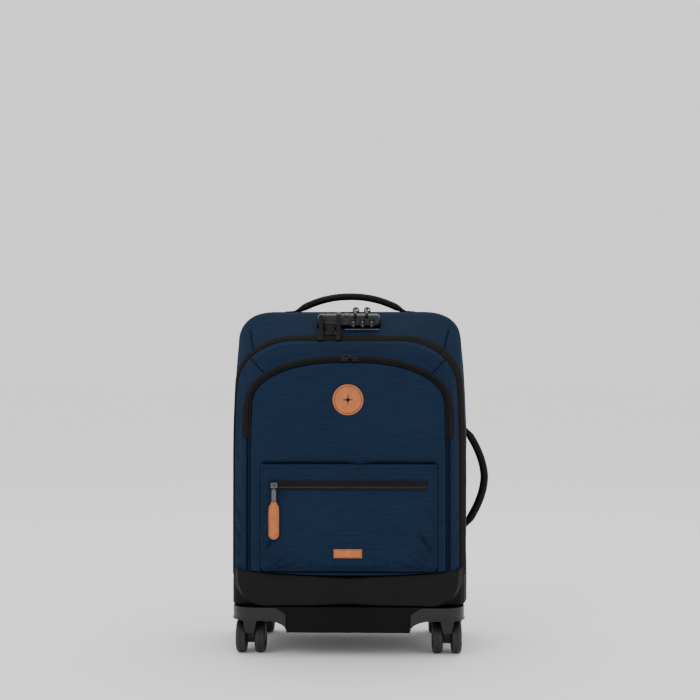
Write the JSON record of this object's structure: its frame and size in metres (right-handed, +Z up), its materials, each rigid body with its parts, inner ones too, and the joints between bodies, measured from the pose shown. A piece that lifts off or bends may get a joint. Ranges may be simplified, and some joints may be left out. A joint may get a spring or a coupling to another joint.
{
  "type": "soft-sided cabin suitcase",
  "caption": "Soft-sided upright cabin suitcase on twin-wheel casters, with a zipped lid, telescopic pull handle, front pockets, side and top handles and a combination lock.",
  "frame": {"origin": "on the floor, under the middle of the box round the whole object with the pull handle down and the lid closed", "axes": "+Z up, -Y towards the front pockets, +X towards the side handle"},
  "size_m": [0.3966, 0.2382, 0.55],
  "materials": {
    "navy_polyester": "woven polyester, matt, thin polyurethane backing",
    "black_fabric": "coated black fabric, matt",
    "zip_tape": "woven polyester zip tape with coil teeth",
    "webbing": "padded webbing, matt black",
    "charcoal_plastic": "injection-moulded polypropylene, satin",
    "wheel_rubber": "thermoplastic rubber tread, matt",
    "axle_steel": "turned steel pin",
    "anodised_tube": "dark grey anodised, satin",
    "gunmetal": "gunmetal plated zinc, semi-gloss",
    "tan_leather": "tan leather, cut edges"
  },
  "bodies": {
    "case": {"bottom_panel": "black_fabric", "rear_gusset": "navy_polyester", "back_panel": "navy_polyester", "main_zip_rear": "zip_tape", "trolley_bezel": "charcoal_plastic", "outer_tube_frame": "anodised_tube", "top_handle": "webbing", "side_handle": "webbing", "wheel_housing_front_left": "charcoal_plastic", "wheel_housing_front_right": "charcoal_plastic", "wheel_housing_rear_left": "charcoal_plastic", "wheel_housing_rear_right": "charcoal_plastic"},
    "caster_front_left": {"caster_fork_front_left": "charcoal_plastic", "caster_axle_front_left": "axle_steel"},
    "wheel_front_left_a": {"wheel_front_left_a": "wheel_rubber"},
    "wheel_front_left_b": {"wheel_front_left_b": "wheel_rubber"},
    "caster_front_right": {"caster_fork_front_right": "charcoal_plastic", "caster_axle_front_right": "axle_steel"},
    "wheel_front_right_a": {"wheel_front_right_a": "wheel_rubber"},
    "wheel_front_right_b": {"wheel_front_right_b": "wheel_rubber"},
    "caster_rear_left": {"caster_fork_rear_left": "charcoal_plastic", "caster_axle_rear_left": "axle_steel"},
    "wheel_rear_left_a": {"wheel_rear_left_a": "wheel_rubber"},
    "wheel_rear_left_b": {"wheel_rear_left_b": "wheel_rubber"},
    "caster_rear_right": {"caster_fork_rear_right": "charcoal_plastic", "caster_axle_rear_right": "axle_steel"},
    "wheel_rear_right_a": {"wheel_rear_right_a": "wheel_rubber"},
    "wheel_rear_right_b": {"wheel_rear_right_b": "wheel_rubber"},
    "trolley_middle": {"mid_tube_left": "anodised_tube", "mid_tube_right": "anodised_tube"},
    "trolley_grip": {"inner_tube_left": "anodised_tube", "inner_tube_right": "anodised_tube", "grip": "charcoal_plastic"},
    "grip_button": {"grip_button": "charcoal_plastic"},
    "lid": {"lid_gusset": "navy_polyester", "front_compartment": "navy_polyester", "outer_zip": "zip_tape", "front_panel": "navy_polyester", "inner_zip": "zip_tape", "patch_pocket": "navy_polyester", "patch_zip": "zip_tape", "bottom_guard": "black_fabric", "round_badge": "tan_leather", "name_tag": "tan_leather", "main_zip_lid": "zip_tape", "lock_housing": "gunmetal"},
    "lock_dial_1": {"lock_dial_1": "charcoal_plastic"},
    "lock_dial_2": {"lock_dial_2": "charcoal_plastic"},
    "lock_dial_3": {"lock_dial_3": "charcoal_plastic"},
    "key_plug": {"key_plug": "gunmetal"},
    "release_button": {"release_button": "gunmetal"},
    "main_slider_left": {"main_slider_left": "gunmetal"},
    "main_slider_right": {"main_slider_right": "gunmetal"},
    "outer_slider_left": {"outer_slider_left": "gunmetal"},
    "outer_slider_right": {"outer_slider_right": "gunmetal"},
    "inner_slider_left": {"inner_slider_left": "gunmetal"},
    "inner_slider_right": {"inner_slider_right": "gunmetal"},
    "patch_slider": {"patch_slider": "gunmetal"},
    "patch_pull": {"patch_pull": "gunmetal", "leather_tab": "tan_leather"}
  },
  "joints": [
    {"name": "caster_front_left_swivel", "type": "hinge", "parent": "case", "child": "caster_front_left", "pos_m": [-0.16755, -0.06595, 0.055], "axis": [0, 0, 1], "continuous": true},
    {"name": "wheel_front_left_a_spin", "type": "hinge", "parent": "caster_front_left", "child": "wheel_front_left_a", "pos_m": [-0.16755, -0.05495, 0.025], "axis": [1, 0, 0], "continuous": true},
    {"name": "wheel_front_left_b_spin", "type": "hinge", "parent": "caster_front_left", "child": "wheel_front_left_b", "pos_m": [-0.16755, -0.05495, 0.025], "axis": [1, 0, 0], "continuous": true},
    {"name": "caster_front_right_swivel", "type": "hinge", "parent": "case", "child": "caster_front_right", "pos_m": [0.12885, -0.06595, 0.055], "axis": [0, 0, 1], "continuous": true},
    {"name": "wheel_front_right_a_spin", "type": "hinge", "parent": "caster_front_right", "child": "wheel_front_right_a", "pos_m": [0.12885, -0.05495, 0.025], "axis": [1, 0, 0], "continuous": true},
    {"name": "wheel_front_right_b_spin", "type": "hinge", "parent": "caster_front_right", "child": "wheel_front_right_b", "pos_m": [0.12885, -0.05495, 0.025], "axis": [1, 0, 0], "continuous": true},
    {"name": "caster_rear_left_swivel", "type": "hinge", "parent": "case", "child": "caster_rear_left", "pos_m": [-0.16755, 0.08205, 0.055], "axis": [0, 0, 1], "continuous": true},
    {"name": "wheel_rear_left_a_spin", "type": "hinge", "parent": "caster_rear_left", "child": "wheel_rear_left_a", "pos_m": [-0.16755, 0.09305, 0.025], "axis": [1, 0, 0], "continuous": true},
    {"name": "wheel_rear_left_b_spin", "type": "hinge", "parent": "caster_rear_left", "child": "wheel_rear_left_b", "pos_m": [-0.16755, 0.09305, 0.025], "axis": [1, 0, 0], "continuous": true},
    {"name": "caster_rear_right_swivel", "type": "hinge", "parent": "case", "child": "caster_rear_right", "pos_m": [0.12885, 0.08205, 0.055], "axis": [0, 0, 1], "continuous": true},
    {"name": "wheel_rear_right_a_spin", "type": "hinge", "parent": "caster_rear_right", "child": "wheel_rear_right_a", "pos_m": [0.12885, 0.09305, 0.025], "axis": [1, 0, 0], "continuous": true},
    {"name": "wheel_rear_right_b_spin", "type": "hinge", "parent": "caster_rear_right", "child": "wheel_rear_right_b", "pos_m": [0.12885, 0.09305, 0.025], "axis": [1, 0, 0], "continuous": true},
    {"name": "trolley_lower_slide", "type": "slide", "parent": "case", "child": "trolley_middle", "axis": [0, 0, 1], "range_m": [0, 0.23]},
    {"name": "trolley_upper_slide", "type": "slide", "parent": "trolley_middle", "child": "trolley_grip", "axis": [0, 0, 1], "range_m": [0, 0.23]},
    {"name": "grip_button_press", "type": "slide", "parent": "trolley_grip", "child": "grip_button", "axis": [0, 0, -1], "range_m": [0, 0.003], "stiffness_N_per_m": 400, "springref_m": -0.001},
    {"name": "lid_hinge", "type": "hinge", "parent": "case", "child": "lid", "pos_m": [-0.19885, -0.01245, 0.297], "axis": [0, 0, -1], "range_deg": [0, 180]},
    {"name": "lock_dial_1_turn", "type": "hinge", "parent": "lid", "child": "lock_dial_1", "pos_m": [-0.01235, -0.05945, 0.4985], "axis": [1, 0, 0], "continuous": true},
    {"name": "lock_dial_2_turn", "type": "hinge", "parent": "lid", "child": "lock_dial_2", "pos_m": [0.00165, -0.05945, 0.4985], "axis": [1, 0, 0], "continuous": true},
    {"name": "lock_dial_3_turn", "type": "hinge", "parent": "lid", "child": "lock_dial_3", "pos_m": [0.01565, -0.05945, 0.4985], "axis": [1, 0, 0], "continuous": true},
    {"name": "key_plug_turn", "type": "hinge", "parent": "lid", "child": "key_plug", "pos_m": [-0.02235, -0.05977, 0.51345], "axis": [0, -0.4695, 0.8829], "range_deg": [0, 90]},
    {"name": "release_button_press", "type": "slide", "parent": "lid", "child": "release_button", "axis": [0, 0.2588, -0.9659], "range_m": [0, 0.0013], "stiffness_N_per_m": 300, "springref_m": -0.0005},
    {"name": "main_slider_left_travel", "type": "slide", "parent": "lid", "child": "main_slider_left", "axis": [-1, 0, 0], "range_m": [0, 0.108]},
    {"name": "main_slider_right_travel", "type": "slide", "parent": "lid", "child": "main_slider_right", "axis": [1, 0, 0], "range_m": [0, 0.084]},
    {"name": "outer_slider_left_travel", "type": "slide", "parent": "lid", "child": "outer_slider_left", "axis": [-1, 0, 0], "range_m": [0, 0.036]},
    {"name": "outer_slider_right_travel", "type": "slide", "parent": "lid", "child": "outer_slider_right", "axis": [1, 0, 0], "range_m": [0, 0.09]},
    {"name": "inner_slider_left_travel", "type": "hinge", "parent": "lid", "child": "inner_slider_left", "pos_m": [-0.01935, -0.09915, 0.0451], "axis": [0, -1, 0], "range_deg": [0, 10.63]},
    {"name": "inner_slider_right_travel", "type": "hinge", "parent": "lid", "child": "inner_slider_right", "pos_m": [-0.01935, -0.09915, 0.0451], "axis": [0, 1, 0], "range_deg": [0, 9.91]},
    {"name": "patch_slider_travel", "type": "slide", "parent": "lid", "child": "patch_slider", "axis": [1, 0, 0], "range_m": [0, 0.215]},
    {"name": "patch_pull_swing", "type": "hinge", "parent": "patch_slider", "child": "patch_pull", "pos_m": [-0.12835, -0.11745, 0.258], "axis": [-1, 0, 0], "range_deg": [0, 170]}
  ]
}
